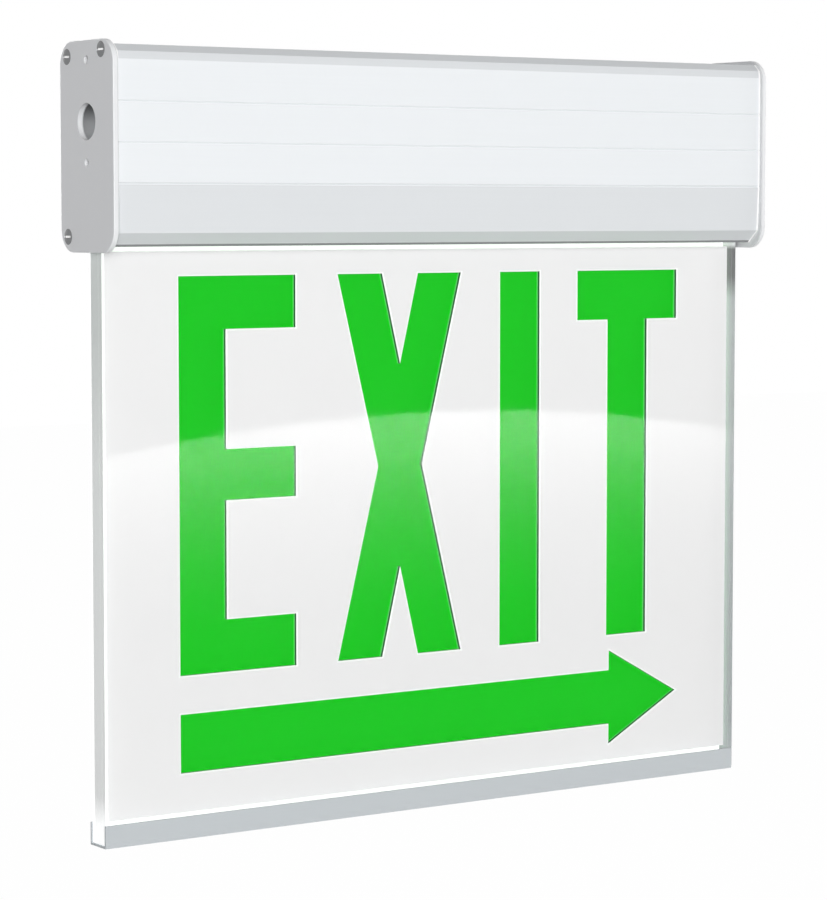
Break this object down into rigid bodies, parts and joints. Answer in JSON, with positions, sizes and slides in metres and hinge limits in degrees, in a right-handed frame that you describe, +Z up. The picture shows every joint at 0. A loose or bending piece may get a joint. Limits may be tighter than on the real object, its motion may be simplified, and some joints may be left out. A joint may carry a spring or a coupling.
{
  "type": "edge-lit emergency exit sign",
  "caption": "Edge-lit emergency exit sign: long aluminium housing with grey end caps, clear panel with green legend hanging below, kept by a channel.",
  "frame": {"origin": "middle of the housing's back, midway between the two wall screw holes, in the plane of the wall", "axes": "+X to the viewer's right along the housing, +Y into the wall, +Z up"},
  "size_m": [0.4216, 0.055, 0.4052],
  "materials": {
    "housing_aluminium": "satin anodised extrusion",
    "channel_aluminium": "satin anodised extrusion",
    "end_cap_plastic": "light grey, fine satin",
    "screw_steel": "zinc plated",
    "clear_acrylic": "clear polished sheet",
    "legend_acrylic": "opal white with green letters",
    "white_acrylic": "opaque white sheet",
    "light_board": "white solder mask",
    "emitter": "yellow phosphor in white body",
    "tray_steel": "zinc plated sheet",
    "earth_brass": "bright",
    "circuit_board": "green solder mask",
    "connector_nylon": "natural nylon",
    "core_steel": "varnished laminations",
    "winding_tape": "yellow insulating tape",
    "capacitor_sleeve": "shrunk sleeve",
    "terminal_plastic": "moulded",
    "battery_sleeve": "shrunk sleeve",
    "button_plastic": "red moulding",
    "switch_plastic": "black moulding",
    "lamp_lens": "red lens",
    "plug_plastic": "light grey",
    "lead_sleeve": "black sleeve"
  },
  "bodies": {
    "sign": {"rear_housing": "housing_aluminium", "front_cover": "housing_aluminium", "left_end_cap": "end_cap_plastic", "right_end_cap": "end_cap_plastic", "left_cap_screws": "screw_steel", "right_cap_screws": "screw_steel", "panel_front_sheet": "clear_acrylic", "light_guide": "clear_acrylic", "legend_plate": "legend_acrylic", "panel_backing_sheet": "white_acrylic", "bottom_channel": "channel_aluminium", "panel_clamp_screws": "screw_steel", "panel_clamp_nuts": "screw_steel", "light_strip_board": "light_board", "light_emitters": "emitter", "driver_tray": "tray_steel", "driver_tray_screws": "screw_steel", "earth_screw": "earth_brass", "driver_board": "circuit_board", "board_spacers": "earth_brass", "board_screws": "screw_steel", "lead_connectors": "connector_nylon", "transformer_core": "core_steel", "transformer_winding": "winding_tape", "capacitors": "capacitor_sleeve", "terminal_block": "terminal_plastic", "battery_pack": "battery_sleeve", "battery_strap": "tray_steel", "battery_strap_screws": "screw_steel", "test_switch": "switch_plastic", "charge_lamp": "lamp_lens", "blanking_plug": "plug_plastic", "battery_lead": "lead_sleeve", "light_strip_lead": "lead_sleeve", "switch_lead": "lead_sleeve", "lamp_lead": "lead_sleeve"},
    "button": {"test_button": "button_plastic"}
  },
  "joints": [
    {"name": "test_button_press", "type": "slide", "parent": "sign", "child": "button", "axis": [-1, 0, 0], "range_m": [0, 0.0018], "stiffness_N_per_m": 600, "springref_m": -0.0009}
  ]
}
